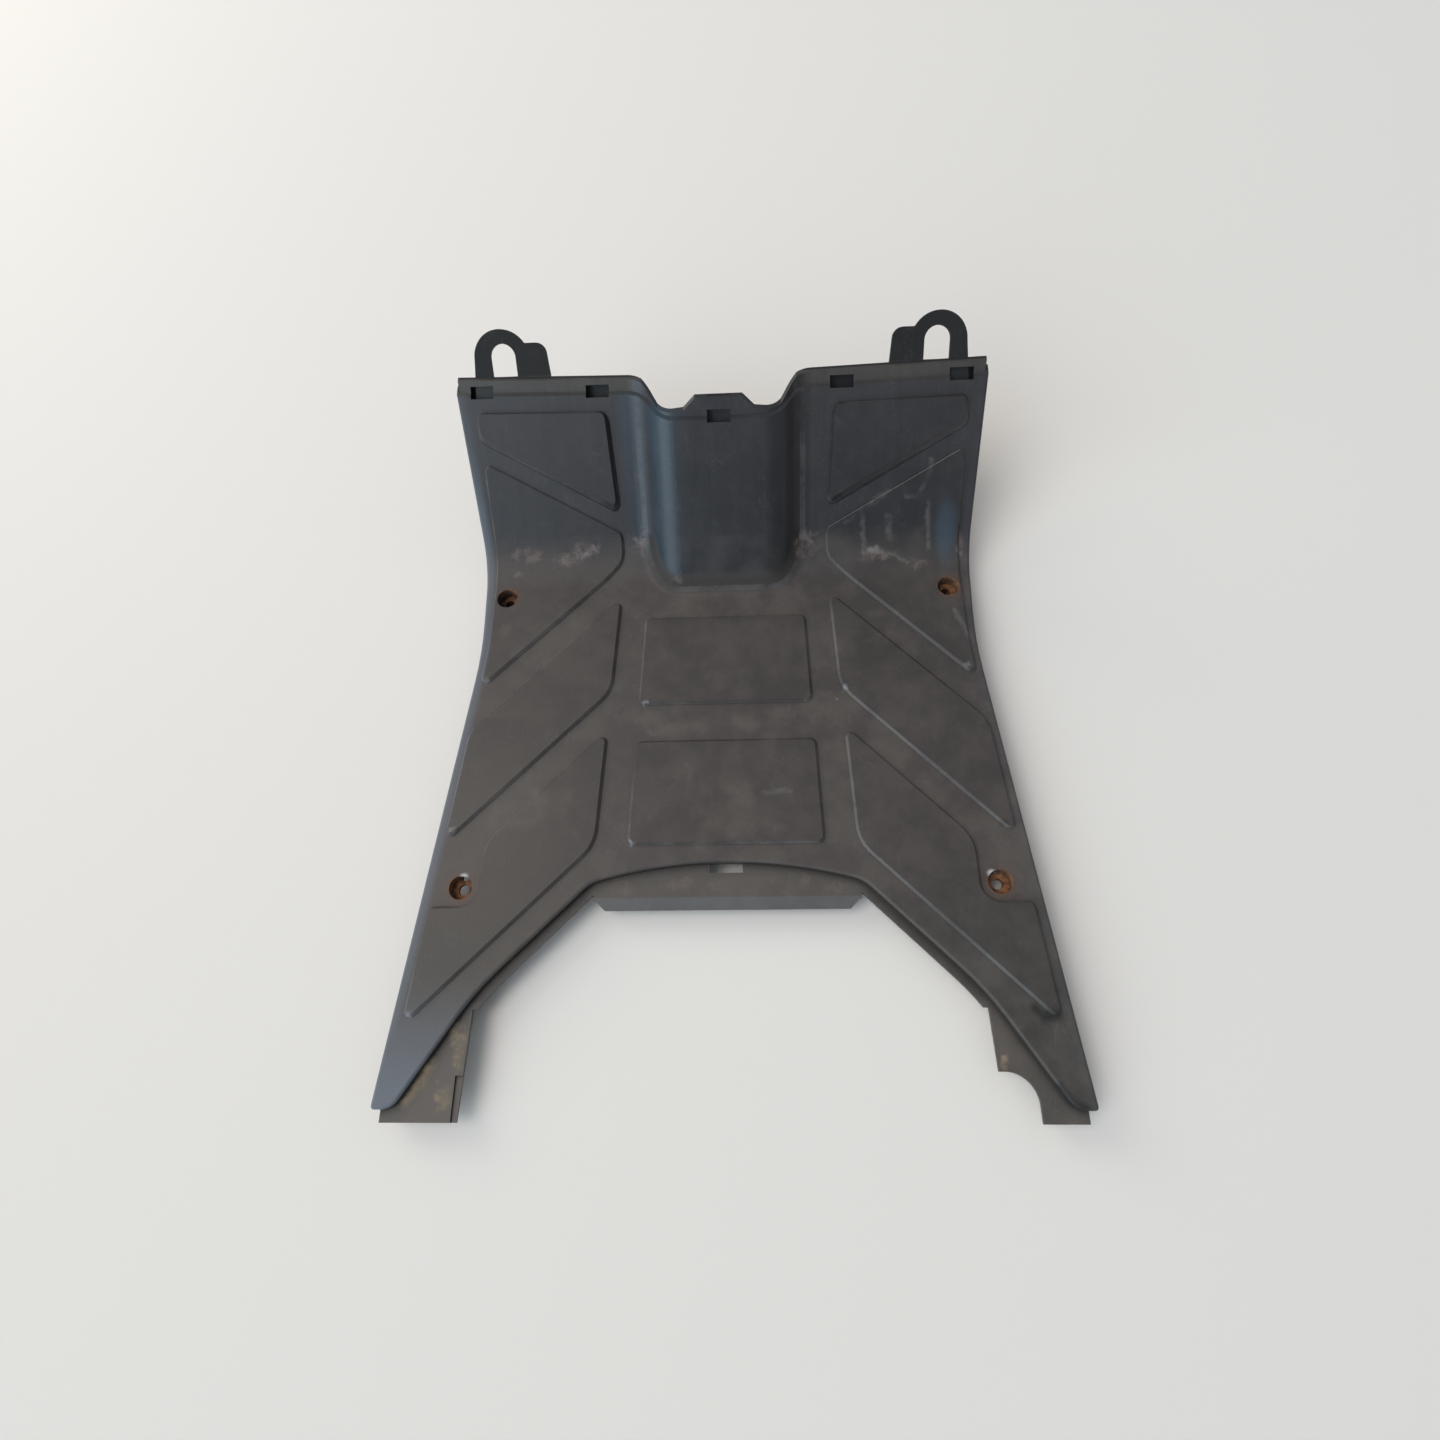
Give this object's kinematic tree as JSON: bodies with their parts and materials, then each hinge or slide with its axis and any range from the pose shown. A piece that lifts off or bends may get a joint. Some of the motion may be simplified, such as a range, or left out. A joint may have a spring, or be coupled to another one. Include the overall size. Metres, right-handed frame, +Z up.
{
  "type": "scooter floorboard",
  "caption": "Moulded plastic scooter floorboard: flat floor with tread pads, upturned toe board with a column bulge, screw cups, and legs that straddle a rear cut-out.",
  "frame": {"origin": "centre of the bounding box on the ground, which the rear skirts and front bosses stand on", "axes": "+X to the rider's right, +Y forward towards the toe board, +Z up"},
  "size_m": [0.413, 0.4904, 0.1341],
  "materials": {
    "grey_plastic": "fine moulded grain, dusty and worn"
  },
  "bodies": {
    "root": {"floorboard": "grey_plastic"}
  },
  "joints": []
}
